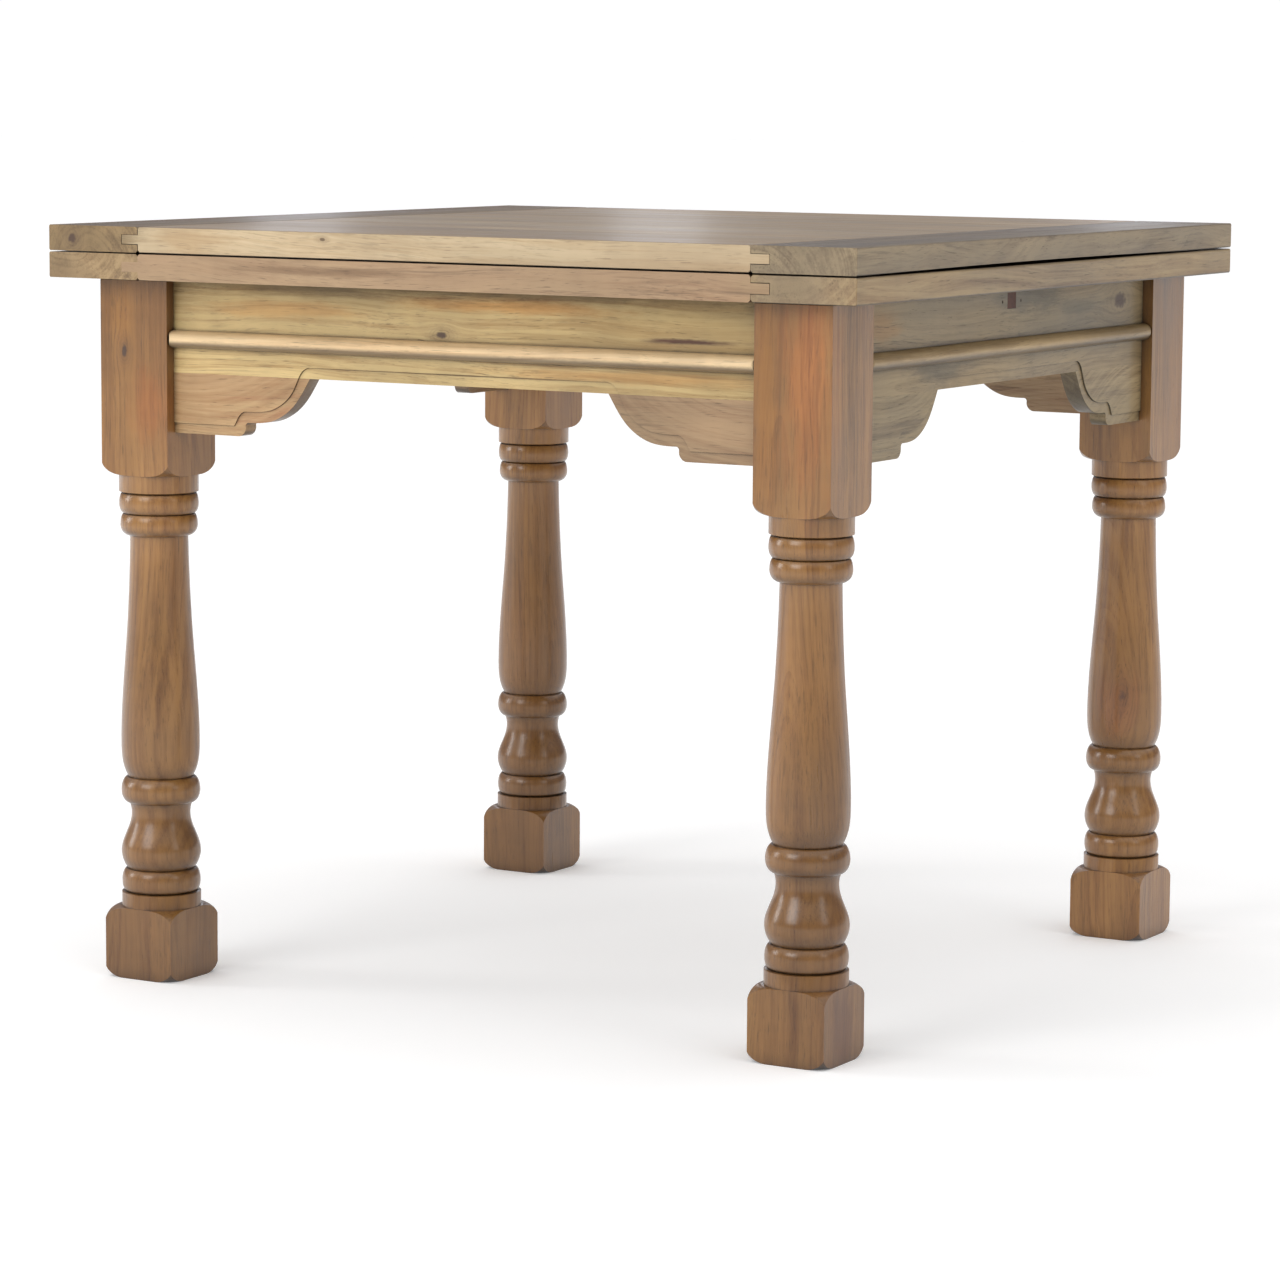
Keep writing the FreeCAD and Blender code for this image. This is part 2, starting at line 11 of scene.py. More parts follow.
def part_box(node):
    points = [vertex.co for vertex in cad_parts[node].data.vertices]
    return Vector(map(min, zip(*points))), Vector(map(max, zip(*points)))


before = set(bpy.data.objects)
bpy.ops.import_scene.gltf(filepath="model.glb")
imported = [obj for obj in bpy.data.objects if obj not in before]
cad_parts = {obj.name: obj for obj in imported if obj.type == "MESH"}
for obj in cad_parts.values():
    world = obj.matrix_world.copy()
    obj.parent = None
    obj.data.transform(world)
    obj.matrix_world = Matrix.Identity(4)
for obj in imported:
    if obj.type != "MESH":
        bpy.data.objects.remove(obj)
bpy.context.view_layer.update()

bl_info = {
    "name": "Fold-over dining table",
    "version": (1, 0, 0),
    "blender": (4, 5, 0),
    "location": "3D View > Sidebar > Table",
    "description": "Finishes the fold-over table's timber, hinges and fixings",
    "category": "Object",
}

SIDES = ("front", "right", "back", "left")
CORNERS = ("front_left", "front_right", "back_left", "back_right")
GRAIN_TURNS = {"X": (0, 0, 0), "Y": (0, 0, -math.pi / 2), "Z": (0, math.pi / 2, 0)}
SIDE_GRAIN = {"front": "X", "right": "Y", "back": "X", "left": "Y"}

# Outer faces of the pieces that carry marks, in metres.
LEAF_FRONT = -0.4425
LEG_FRONT = -0.411
LEG_RIGHT = 0.422
APRON_FRONT = -0.399
APRON_RIGHT = 0.41

# How often each figure of the wood repeats per metre: along the grain, across it, through it.
DRIFT = (1.7, 5.0, 5.0)
FIBRE = (9.0, 300.0, 300.0)
DASHES = (26.0, 480.0, 480.0)
DASH_FIELDS = (7.0, 26.0, 26.0)
PORES = (38.0, 1000.0, 1000.0)
CLOUDS = (1.6, 9.0, 9.0)
BLOOM = (4.0, 14.0, 14.0)
STREAKS = (0.9, 42.0, 42.0)
FLAME = (55.0, 9.0, 9.0)
SWEEP = (2.2, 60.0, 60.0)
RIPPLE = (9.0, 22.0, 22.0)
KNOT_EDGE = (170, 170, 170)
STAIN_EDGE = (16, 90, 90)

# The grain wanders by up to half of this, in metres, and sideways apart from up and down.
DRIFT_REACH = 0.06
DRIFT_OFFSET = (3.1, 7.7, 1.9)

# Painted shade in corners: reach of the wide painted shade and of the thin dark line painted
# in crevices.
CORNER_SHADE_REACH = 0.03
CREVICE_SHADE_REACH = 0.004

# Pale, deep and cloud colours of the boards that differ from the panel's table colours.
WOODS = {
    "upper_left": ((150, 124, 84), (104, 80, 50), (126, 102, 66)),
    "upper_right": ((146, 128, 98), (106, 88, 66), (126, 110, 86)),
    "lower_panel": ((190, 160, 122), (146, 112, 80), (172, 136, 104)),
    "lower_left": ((156, 130, 92), (122, 97, 64), (141, 115, 80)),
    "lower_right": ((160, 136, 98), (126, 100, 70), (136, 118, 92)),
    "end_apron": ((161, 138, 100), (119, 98, 66), (126, 112, 84)),
    "long_bead": ((228, 199, 154), (198, 164, 120), (212, 178, 132)),
    "end_bead": ((176, 150, 108), (138, 113, 76), (150, 124, 86)),
    "brown_bracket": ((165, 138, 103), (133, 102, 72), (150, 118, 86)),
    "grey_bracket": ((158, 137, 101), (117, 96, 65), (130, 113, 80)),
    "inner": ((188, 160, 120), (150, 120, 86), (160, 134, 100)),
    "corner_block": ((190, 158, 116), (150, 116, 82), (164, 134, 98)),
}

# Casts of the marks: each multiplies the colour of the wood under it.
EMBER = (1.18, 0.86, 0.66)
UMBER = (0.7, 0.6, 0.5)
HONEY = (1.3, 1.22, 0.86)
# Painted shade on faces of the leg blocks turned from the light.
LEG_BLOCK_SHADE = (0.66, 0.68, 0.68)
# Darker brown wood and painted shade on the foot's face turned from the light.
FOOT_BROWN_AND_SHADE = (0.6, 0.44, 0.32)
RED_SPLIT = (0.2, 0.1, 0.08)
BLUE_STAIN = (0.42, 0.46, 0.55)
GOLD = (1.0, 0.66, 0.34)
# Painted shadow of the leaves along the top of the front apron.
LEAF_SHADOW = (0.5, 0.45, 0.36)
# Painted shadow under the lip of the sunk margin on the front apron.
LIP_SHADOW = (0.3, 0.24, 0.18)
DULL_END = (0.5, 0.46, 0.38)
WARM_END = (0.72, 0.58, 0.42)
GREEN_END = (0.8, 0.84, 0.78)
DARK_LINE = (0.45, 0.38, 0.32)

# Cast that darkens the faces that look up, by leaf.
UPPER_TOP = (0.52, 0.48, 0.46)
LOWER_TOP = (0.8, 0.78, 0.76)

# Windows: name, place, aim, width, height, power in watts, colour.
WHITE = (1, 1, 1)
SKY_BLUE = (0.92, 0.94, 1.0)
WINDOWS = (
    ("key_window", (-1.2, -5.0, 2.6), (0, 0, 0.5), 2.6, 2.0, 80, WHITE),
    ("side_window", (5.2, -1.2, 2.2), (0, 0, 0.5), 1.4, 1.8, 16, WHITE),
    ("left_window", (-5.0, -2.2, 1.7), (0, 0, 0.4), 1.2, 1.8, 48, WHITE),
    ("far_window_0", (-3.9, 5.0, 1.9), (0, 0, 0.8), 0.22, 1.1, 2.2, SKY_BLUE),
    ("far_window_1", (-3.1, 5.4, 1.9), (0, 0, 0.8), 0.22, 1.1, 2.2, SKY_BLUE),
    ("far_window_2", (-2.0, 5.8, 1.9), (0, 0, 0.8), 0.22, 1.1, 2.2, SKY_BLUE),
)
HORIZON = (1.02, 1.02, 1.02, 1)
WALLS = (0.2, 0.2, 0.22, 1)
OVERHEAD = (1.15, 1.15, 1.15, 1)

# Camera: its place, and where its own right, up and back point.
CAMERA_PLACE = (2.302627, -4.011561, 0.935686)
CAMERA_RIGHT = (0.8649153, 0.50186533, 0.00726081)
CAMERA_UP = (-0.07052377, 0.1071927, 0.9917339)
CAMERA_BACK = (0.49693856, -0.85827788, 0.12810604)


def tone(red, green, blue):
    """Linear colour from the 0 to 255 values of a paint chart."""
    def linear(value):
        value /= 255
        return value / 12.92 if value <= 0.04045 else ((value + 0.055) / 1.055) ** 2.4
    return (linear(red), linear(green), linear(blue))


def colour_prop(name, description, default):
    return FloatVectorProperty(name=name, description=description, default=tone(*default),
                               subtype="COLOR", size=3, min=0.0, max=1.0)


def length_prop(name, description, default):
    return FloatProperty(name=name, description=description, default=default, min=0.0,
                         unit="LENGTH", subtype="DISTANCE", precision=4)


class TimberColours(bpy.types.PropertyGroup):
    """Colours of the mango wood, by where each board lies in the table."""
    leaf_pale: colour_prop("Leaf, pale wood", "Sapwood of the leaves", (212, 192, 156))
    leaf_deep: colour_prop("Leaf, deep wood", "Darker rings of the leaves", (176, 146, 106))
    leaf_tint: colour_prop("Leaf, tint", "Broad clouds on the leaves", (166, 142, 112))
    leg_pale: colour_prop("Leg, pale wood", "Lighter rings of the legs", (160, 115, 62))
    leg_deep: colour_prop("Leg, deep wood", "Darker rings of the legs", (112, 70, 32))
    leg_tint: colour_prop("Leg, tint", "Broad clouds on the legs", (126, 84, 42))
    apron_pale: colour_prop("Apron, pale wood", "Sapwood of the aprons", (204, 177, 122))
    apron_deep: colour_prop("Apron, deep wood", "Darker rings of the aprons", (150, 113, 62))
    apron_tint: colour_prop("Apron, tint", "Olive clouds on the aprons", (150, 126, 78))
    streak: colour_prop("Streaks", "Dark mineral streaks", (74, 52, 38))
    rose: colour_prop("Rose wood", "Pinkish heart of the brackets", (166, 128, 90))
    rail: colour_prop("Rail", "Reddish brown of the slide rail", (96, 54, 34))


class FinishSizes(bpy.types.PropertyGroup):
    """Sizes of what the finish adds."""
    edge_round: length_prop("Eased edge", "Radius worn on every wooden edge", 0.0011)
    plank_width: length_prop("Plank width", "Width of the planks in a leaf", 0.098)
    ring_pitch: length_prop("Ring pitch", "Distance between growth rings", 0.0062)
    relief: length_prop("Grain relief", "Height of the open grain", 0.00035)
    gloss: FloatProperty(name="Lacquer", description="Strength of the satin lacquer",
                         default=0.24, min=0.0, max=1.0, subtype="FACTOR")


class StageLook(bpy.types.PropertyGroup):
    """Floor and light."""
    floor: colour_prop("Floor", "Pale studio floor", (252, 252, 252))
    floor_radius: length_prop("Floor radius", "Radius of the floor disc", 60.0)
    lens: FloatProperty(name="Lens", description="Focal length of the camera, in mm",
                        default=123.14, min=10.0)
    seed: IntProperty(name="Seed", description="Start of every random draw", default=7)


# ---- shader building -------------------------------------------------------------------
def wire(tree, kind, inputs=None, **settings):
    """New shader node with its settings, and its sockets set or linked."""
    node = tree.nodes.new("ShaderNode" + kind)
    for key, value in settings.items():
        setattr(node, key, value)
    for key, value in (inputs or {}).items():
        if isinstance(value, bpy.types.NodeSocket):
            tree.links.new(value, node.inputs[key])
        else:
            node.inputs[key].default_value = value
    return node


def calc(tree, operation, first, second=0.0, clamp=False):
    node = wire(tree, "Math", {0: first, 1: second}, operation=operation, use_clamp=clamp)
    return node.outputs[0]


def vector_calc(tree, operation, first, second):
    node = wire(tree, "VectorMath", {0: first, 1: second}, operation=operation)
    return node.outputs["Value" if operation in ("LENGTH", "DISTANCE") else 0]


def noise(tree, vector, stretch, detail=2.0, roughness=0.5):
    """Noise whose frequency along each axis is given by stretch, per metre."""
    scaled = vector_calc(tree, "MULTIPLY", vector, stretch)
    node = wire(tree, "TexNoise", {"Vector": scaled, "Scale": 1.0, "Detail": detail,
                                   "Roughness": roughness})
    return node.outputs["Fac"]


def band(tree, value, low, high, start=0.0, end=1.0):
    """Smooth step of value from low to high."""
    node = wire(tree, "MapRange", {0: value, 1: low, 2: high, 3: start, 4: end},
                interpolation_type="SMOOTHSTEP", clamp=True)
    return node.outputs[0]


def mixed(tree, factor, first, second, blend="MIX"):
    node = wire(tree, "Mix", {0: factor, 6: first, 7: second}, data_type="RGBA",
                blend_type=blend, clamp_factor=True)
    return node.outputs[2]


def xyz(tree, x, y, z):
    return wire(tree, "CombineXYZ", {0: x, 1: y, 2: z}).outputs[0]


def shaded(tree, colour, shade):
    """Colour times a grey level."""
    return mixed(tree, 1.0, colour, xyz(tree, shade, shade, shade), "MULTIPLY")


def new_group(name, inputs, outputs):
    """Empty node group with (name, socket kind, default) inputs and (name, kind) outputs."""
    tree = bpy.data.node_groups.new(name, "ShaderNodeTree")
    for label, kind, default in inputs:
        socket = tree.interface.new_socket(label, in_out="INPUT",
                                           socket_type="NodeSocket" + kind)
        if default is not None:
            socket.default_value = default
    for label, kind in outputs:
        tree.interface.new_socket(label, in_out="OUTPUT", socket_type="NodeSocket" + kind)
    entry = tree.nodes.new("NodeGroupInput")
    leave = tree.nodes.new("NodeGroupOutput")
    return tree, entry.outputs, leave.inputs


def close_group(tree, leave, **values):
    for label, socket in values.items():
        tree.links.new(socket, leave[label])


def planks_group():
    """Splits a leaf into glued planks, each with its own place in the log."""
    tree, given, leave = new_group(
        "glued_planks",
        [("Vector", "Vector", None), ("Width", "Float", 0.1), ("Seed", "Float", 0.0)],
        [("Vector", "Vector"), ("Tone", "Float"), ("Hue", "Float"), ("Seam", "Float")])
    parts = wire(tree, "SeparateXYZ", {0: given["Vector"]}).outputs
    place = calc(tree, "DIVIDE", parts[1], given["Width"])
    index = calc(tree, "ROUND", place)
    inside = calc(tree, "SUBTRACT", place, index)
    draw = wire(tree, "TexWhiteNoise", {"W": calc(tree, "ADD", index, given["Seed"])},
                noise_dimensions="1D")
    random_parts = wire(tree, "SeparateColor", {0: draw.outputs["Color"]}).outputs
    along = calc(tree, "MULTIPLY_ADD", random_parts[0], 9.0)
    tree.links.new(parts[0], along.node.inputs[2])
    across = calc(tree, "MULTIPLY", inside, given["Width"])
    shifted = calc(tree, "MULTIPLY_ADD", random_parts[1], 0.16)
    tree.links.new(across, shifted.node.inputs[2])
    depth = calc(tree, "MULTIPLY_ADD", random_parts[2], 0.12)
    tree.links.new(parts[2], depth.node.inputs[2])
    seam = band(tree, calc(tree, "ABSOLUTE", inside), 0.4955, 0.4995)
    close_group(tree, leave, Vector=xyz(tree, along, shifted, depth),
                Tone=draw.outputs["Value"], Hue=random_parts[1], Seam=seam)
    return tree


def knot_group():
    """Bends the grain round one knot and gives the knot's own dark rings."""
    tree, given, leave = new_group(
        "knot",
        [("Vector", "Vector", None), ("Centre", "Vector", (0, 0, 0)),
         ("Radius", "Float", 0.008), ("Before", "Float", 0.0)],
        [("Vector", "Vector"), ("Dark", "Float")])
    away = vector_calc(tree, "SUBTRACT", given["Vector"], given["Centre"])
    flat = vector_calc(tree, "MULTIPLY", away, (0.55, 1.0, 1.0))
    reach = calc(tree, "DIVIDE", vector_calc(tree, "LENGTH", flat, (0, 0, 0)),
                 given["Radius"])
    ragged = noise(tree, away, KNOT_EDGE, 3.0, 0.6)
    reach = calc(tree, "ADD", reach, calc(tree, "MULTIPLY", calc(tree, "SUBTRACT", ragged,
                                                                0.5), 0.9))
    pull = band(tree, reach, 0.3, 4.5, 0.75, 0.0)
    bent = vector_calc(tree, "SUBTRACT", given["Vector"],
                       vector_calc(tree, "MULTIPLY", away, xyz(tree, 0.0, pull, pull)))
    core = band(tree, reach, 0.45, 1.15, 1.0, 0.0)
    halo = band(tree, reach, 1.0, 3.2, 0.42, 0.0)
    rings = calc(tree, "SINE", calc(tree, "MULTIPLY", reach, 11.0))
    rings = calc(tree, "MULTIPLY", band(tree, rings, -0.2, 0.9), halo)
    dark = calc(tree, "MAXIMUM", core, calc(tree, "MULTIPLY", rings, 0.8))
    dark = calc(tree, "MAXIMUM", dark, calc(tree, "MULTIPLY", halo, 0.45))
    close_group(tree, leave, Vector=bent,
                Dark=calc(tree, "MAXIMUM", dark, given["Before"]))
    return tree


def timber_group():
    """Mango wood in a board's own space: X along the grain, origin at its middle."""
    tree, given, leave = new_group(
        "mango_timber",
        [("Vector", "Vector", None), ("Seed", "Vector", (0, 0, 0)),
         ("Pith", "Vector", (0, 0, -0.05)), ("Slope", "Float", 0.04),
         ("Density", "Float", 160.0), ("Rings", "Float", 0.6), ("Clouds", "Float", 0.5),
         ("Streaks", "Float", 0.4), ("Sweep", "Float", 0.6), ("Pale", "Color", None),
         ("Deep", "Color", None), ("Tint", "Color", None), ("Streak", "Color", None),
         ("Dark", "Float", 0.0)],
        [("Color", "Color"), ("Roughness", "Float"), ("Height", "Float")])
    place = vector_calc(tree, "ADD", given["Vector"], given["Seed"])
    lean_y = calc(tree, "SUBTRACT", noise(tree, place, DRIFT, 3.0), 0.5)
    lean_z = calc(tree, "SUBTRACT",
                  noise(tree, vector_calc(tree, "ADD", place, DRIFT_OFFSET), DRIFT, 3.0),
                  0.5)
    drift = xyz(tree, 0.0, calc(tree, "MULTIPLY", lean_y, DRIFT_REACH),
                calc(tree, "MULTIPLY", lean_z, DRIFT_REACH))
    grain = vector_calc(tree, "ADD", place, drift)
    local = vector_calc(tree, "ADD", given["Vector"], drift)
    parts = wire(tree, "SeparateXYZ", {0: vector_calc(tree, "SUBTRACT", local,
                                                     given["Pith"])}).outputs
    sloped = calc(tree, "MULTIPLY_ADD", parts[0], given["Slope"])
    tree.links.new(parts[1], sloped.node.inputs[2])
    radius = vector_calc(tree, "LENGTH", xyz(tree, 0.0, sloped, parts[2]), (0, 0, 0))
    years = calc(tree, "MULTIPLY", radius, given["Density"])
    ring_noise = wire(tree, "TexNoise", {"W": years, "Scale": 0.55, "Detail": 3.0,
                                         "Roughness": 0.62}, noise_dimensions="1D")
    ring = band(tree, ring_noise.outputs["Fac"], 0.34, 0.68)
    late = calc(tree, "FRACT", years)
    late = calc(tree, "MULTIPLY", calc(tree, "POWER", late, 3.0), 0.5)
    figure = calc(tree, "MULTIPLY_ADD", ring, 0.75, True)
    tree.links.new(late, figure.node.inputs[2])
    fibre = noise(tree, grain, FIBRE, 4.0, 0.75)
    dashes = band(tree, noise(tree, grain, DASHES, 3.0, 0.65), 0.52, 0.66)
    dashes = calc(tree, "MULTIPLY", dashes,
                  band(tree, noise(tree, place, DASH_FIELDS, 2.0), 0.38, 0.62))
    pores = band(tree, noise(tree, grain, PORES, 2.0, 0.6), 0.6, 0.7)
    pores = calc(tree, "MULTIPLY", pores, band(tree, figure, 0.0, 0.8, 0.35, 1.0))
    cloud = band(tree, noise(tree, place, CLOUDS, 3.0, 0.55), 0.36, 0.66)
    bloom = noise(tree, place, BLOOM, 4.0, 0.6)
    streak = band(tree, noise(tree, grain, STREAKS, 5.0, 0.72), 0.56, 0.7)
    flame = noise(tree, place, FLAME, 2.0, 0.5)
    sweep = band(tree, noise(tree, grain, SWEEP, 4.0, 0.6), 0.36, 0.66)
    amount = calc(tree, "ADD", calc(tree, "MULTIPLY", figure, given["Rings"]),
                  calc(tree, "MULTIPLY", calc(tree, "SUBTRACT", fibre, 0.5), 1.5))
    amount = calc(tree, "ADD", amount, calc(tree, "MULTIPLY",
                                            calc(tree, "SUBTRACT", sweep, 0.5),
                                            given["Sweep"]))
    colour = mixed(tree, amount, given["Pale"], given["Deep"])
    colour = mixed(tree, calc(tree, "MULTIPLY", cloud, given["Clouds"]), colour,
                   given["Tint"])
    colour = mixed(tree, calc(tree, "MULTIPLY", streak, given["Streaks"]), colour,
                   given["Streak"])
    shade = calc(tree, "ADD", band(tree, bloom, 0.25, 0.75, 0.8, 1.18),
                 calc(tree, "MULTIPLY", calc(tree, "SUBTRACT", flame, 0.5), 0.16))
    shade = calc(tree, "MULTIPLY", shade, band(tree, pores, 0.0, 1.0, 1.0, 0.6))
    shade = calc(tree, "MULTIPLY", shade, band(tree, dashes, 0.0, 1.0, 1.0, 0.76))
    colour = shaded(tree, colour, shade)
    colour = mixed(tree, calc(tree, "MULTIPLY", given["Dark"], 0.95), colour,
                   given["Streak"])
    rough = calc(tree, "ADD", band(tree, bloom, 0.3, 0.7, 0.36, 0.5),
                 calc(tree, "MULTIPLY", calc(tree, "ADD", pores, fibre), 0.1))
    ripple = noise(tree, place, RIPPLE, 2.0, 0.5)
    height = calc(tree, "ADD", calc(tree, "MULTIPLY", fibre, 0.3),
                  calc(tree, "MULTIPLY", ripple, 1.6))
    height = calc(tree, "SUBTRACT", height, calc(tree, "MULTIPLY", pores, 0.35))
    close_group(tree, leave, Color=colour, Roughness=rough, Height=height)
    return tree


def shared_group(name, maker):
    return bpy.data.node_groups.get(name) or maker()


def use_group(tree, name, maker, inputs):
    return wire(tree, "Group", inputs, node_tree=shared_group(name, maker)).outputs


def opaque(colour):
    return (*colour, 1.0)


def blank_material(name):
    material = bpy.data.materials.new(name)
    material.use_nodes = True
    tree = material.node_tree
    tree.nodes.clear()
    shader = wire(tree, "BsdfPrincipled")
    output = wire(tree, "OutputMaterial")
    tree.links.new(shader.outputs[0], output.inputs[0])
    return material, tree, shader


def timber(name, palette, grain="X", tilt=0.0, seed=0, pith=None, rings=0.6, clouds=0.5,
           streaks=0.35, sweep=0.6, slope=0.04, knots=(), stains=(), planks=None,
           lacquer=1.0, fade=None, top_shade=None, under=0.3):
    """Mango wood for one board, with its grain along one axis and turned by tilt about Z.

    palette holds the pale, deep, cloud and streak colours. knots are (x, y, z, radius) and
    stains are (x, y, z, length, height, strength, cast), both in the table's
    frame; they hold stain patches and patches of painted shade and shadow. planks is a
    plank width, or None for one board. fade is (low, high, shade): painted shade
    that draws the wood darker towards the bottom. top_shade is a cast that darkens the
    faces that look up, and under is the painted shade of the faces that look down.
    """
    centre = middle(name)
    sizes = bpy.context.scene.table_sizes
    material, tree, shader = blank_material(name)
    draw = random.Random(seed * 7919 + bpy.context.scene.table_stage.seed)
    turn = Euler(GRAIN_TURNS[grain])
    spin = Matrix.Rotation(tilt, 3, "Z") @ turn.to_matrix()
    coordinates = wire(tree, "TexCoord").outputs["Object"]
    centred = vector_calc(tree, "SUBTRACT", coordinates, tuple(centre))
    mapping = wire(tree, "Mapping", {"Vector": centred,
                                     "Rotation": tuple(spin.to_euler("XYZ"))})
    place = mapping.outputs[0]
    dark = None
    for x, y, z, radius in knots:
        local = spin @ (Vector((x, y, z)) - Vector(centre))
        inputs = {"Vector": place, "Centre": tuple(local), "Radius": radius}
        if dark is not None:
            inputs["Before"] = dark
        made = use_group(tree, "knot", knot_group, inputs)
        place, dark = made["Vector"], made["Dark"]
    origin = (draw.uniform(-40, 40), draw.uniform(-40, 40), draw.uniform(-40, 40))
    if pith is None:
        pith = (0, draw.uniform(-0.05, 0.05), draw.choice((-1, 1)) * draw.uniform(0.03, 0.1))
    inputs = {"Vector": place, "Seed": origin, "Pith": pith, "Rings": rings,
              "Clouds": clouds, "Streaks": streaks, "Slope": slope, "Sweep": sweep,
              "Density": 1 / sizes.ring_pitch, "Pale": opaque(palette[0]),
              "Deep": opaque(palette[1]), "Tint": opaque(palette[2]),
              "Streak": opaque(palette[3])}
    plank = None
    if planks:
        plank = use_group(tree, "glued_planks", planks_group,
                          {"Vector": place, "Width": planks, "Seed": seed * 3.7})
        inputs["Vector"] = plank["Vector"]
    if dark is not None:
        inputs["Dark"] = dark
    wood = use_group(tree, "mango_timber", timber_group, inputs)
    colour = wood["Color"]
    if plank:
        shade = band(tree, plank["Tone"], 0.0, 1.0, 0.84, 1.1)
        shade = calc(tree, "MULTIPLY", shade, band(tree, plank["Seam"], 0.0, 1.0, 1.0, 0.6))
        colour = shaded(tree, colour, shade)
        colour = mixed(tree, calc(tree, "MULTIPLY", plank["Hue"], 0.35), colour,
                       opaque(palette[1]))
    # Each patch multiplies the colour by its cast; besides stain patches these include painted
    # shade and shadow.
    for x, y, z, length, height, strength, cast in stains:
        away = vector_calc(tree, "SUBTRACT", coordinates, (x, y, z))
        reach = vector_calc(tree, "LENGTH", vector_calc(
            tree, "MULTIPLY", away, (1 / length, 1 / length, 1 / height)), (0, 0, 0))
        ragged = noise(tree, place, STAIN_EDGE, 5.0, 0.7)
        reach = calc(tree, "ADD", reach, calc(tree, "MULTIPLY", ragged, 1.6))
        mask = band(tree, reach, 1.0, 1.9, strength, 0.0)
        tinted = mixed(tree, 1.0, colour, opaque(cast), "MULTIPLY")
        colour = mixed(tree, mask, colour, tinted)
    # Painted shade: the wood is drawn darker towards the bottom.
    if fade:
        level = wire(tree, "SeparateXYZ", {0: coordinates}).outputs[2]
        colour = shaded(tree, colour, band(tree, level, fade[0], fade[1], fade[2], 1.0))
    facing = wire(tree, "SeparateXYZ", {0: wire(tree, "TexCoord").outputs["Normal"]})
    if top_shade:
        up = band(tree, facing.outputs[2], 0.5, 0.9)
        colour = mixed(tree, up, colour, mixed(tree, 1.0, colour, opaque(top_shade),
                                               "MULTIPLY"))
    # Painted shade: ambient occlusion darkens the colour in corners and in thin crevices.
    corner_shade = wire(tree, "AmbientOcclusion", {"Distance": CORNER_SHADE_REACH},
                samples=4).outputs["AO"]
    crevice_shade = wire(tree, "AmbientOcclusion", {"Distance": CREVICE_SHADE_REACH},
                   samples=4).outputs["AO"]
    shade = calc(tree, "MULTIPLY", band(tree, corner_shade, 0.2, 0.85, 0.4, 1.0),
                 band(tree, crevice_shade, 0.4, 0.85, 0.35, 1.0))
    # Painted shade on the faces that look down.
    shade = calc(tree, "MULTIPLY", shade, band(tree, facing.outputs[2], -0.7, 0.0, under, 1.0))
    tree.links.new(shaded(tree, colour, shade), shader.inputs["Base Color"])
    tree.links.new(calc(tree, "ADD", wood["Roughness"], 0.16 * (1 - lacquer)),
                   shader.inputs["Roughness"])
    bump = wire(tree, "Bump", {"Strength": 0.55, "Distance": sizes.relief,
                               "Height": wood["Height"]})
    tree.links.new(bump.outputs[0], shader.inputs["Normal"])
    shader.inputs["Specular IOR Level"].default_value = 0.45
    shader.inputs["Coat Weight"].default_value = sizes.gloss * lacquer
    shader.inputs["Coat Roughness"].default_value = 0.2
    return material


def metal(name, base, worn, roughness, scratch):
    """Brass or zinc-plated steel with handling marks and dull patches."""
    material, tree, shader = blank_material(name)
    place = wire(tree, "TexCoord").outputs["Object"]
    patches = noise(tree, place, (140, 140, 140), 4.0, 0.65)
    marks = noise(tree, place, scratch, 3.0, 0.7)
    colour = mixed(tree, band(tree, patches, 0.4, 0.7), opaque(base), opaque(worn))
    tree.links.new(colour, shader.inputs["Base Color"])
    rough = calc(tree, "ADD", band(tree, patches, 0.3, 0.7, roughness, roughness + 0.2),
                 calc(tree, "MULTIPLY", marks, 0.12))
    tree.links.new(rough, shader.inputs["Roughness"])
    bump = wire(tree, "Bump", {"Strength": 0.25, "Distance": 0.0001, "Height": marks})
    tree.links.new(bump.outputs[0], shader.inputs["Normal"])
    shader.inputs["Metallic"].default_value = 1.0
    return material


# ---- working on the frame --------------------------------------------------------------
def middle(node):
    low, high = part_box(node)
    return (low + high) / 2


def ease_edges(piece, width):
    """Joins the board's faces and rounds its sharp edges."""
    weld = piece.modifiers.new("weld", "WELD")
    weld.merge_threshold = 0.00002
    bevel = piece.modifiers.new("eased_edges", "BEVEL")
    bevel.width = width
    bevel.segments = 3
    bevel.limit_method = "ANGLE"
    bevel.angle_limit = math.radians(38)
    bevel.harden_normals = True
    bevel.use_clamp_overlap = True


def dress(node, material, edge=None):
    """Gives a CAD node its material and, where edge is given, worn edges."""
    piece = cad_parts[node]
    piece.data.materials.clear()
    piece.data.materials.append(material)
    if edge:
        ease_edges(piece, edge)
    return piece


def dress_timber(node, palette, edge, **figure):
    """Gives one wooden piece its timber and its worn edges."""
    dress(node, timber(node, palette, **figure), edge)


def colours(*names):
    """Colours chosen in the panel."""
    table = bpy.context.scene.table_colours
    return tuple(tuple(getattr(table, name)) for name in names)


def wood(name):
    """Palette of a board that has its own colours."""
    return (*(tone(*colour) for colour in WOODS[name]), colours("streak")[0])


# ---- pieces ----------------------------------------------------------------------------
def finish_leaf(layer, seed, palettes, top_shade, streaks, knots=(), left_knots=(),
                stains=()):
    """Panel of glued planks and two breadboard ends of one leaf, each with its palette."""
    sizes = bpy.context.scene.table_sizes
    dress_timber(layer + "_panel", palettes["panel"], sizes.edge_round,
                 planks=sizes.plank_width, seed=seed, rings=0.45, streaks=streaks,
                 knots=knots, stains=stains, slope=0.03, top_shade=top_shade)
    for number, end in enumerate(("left", "right"), 1):
        dress_timber(layer + "_breadboard_" + end, palettes[end], sizes.edge_round,
                     grain="Y", seed=seed + 10 * number, rings=0.7, clouds=0.6,
                     streaks=0.45, knots=left_knots if end == "left" else (),
                     top_shade=top_shade)


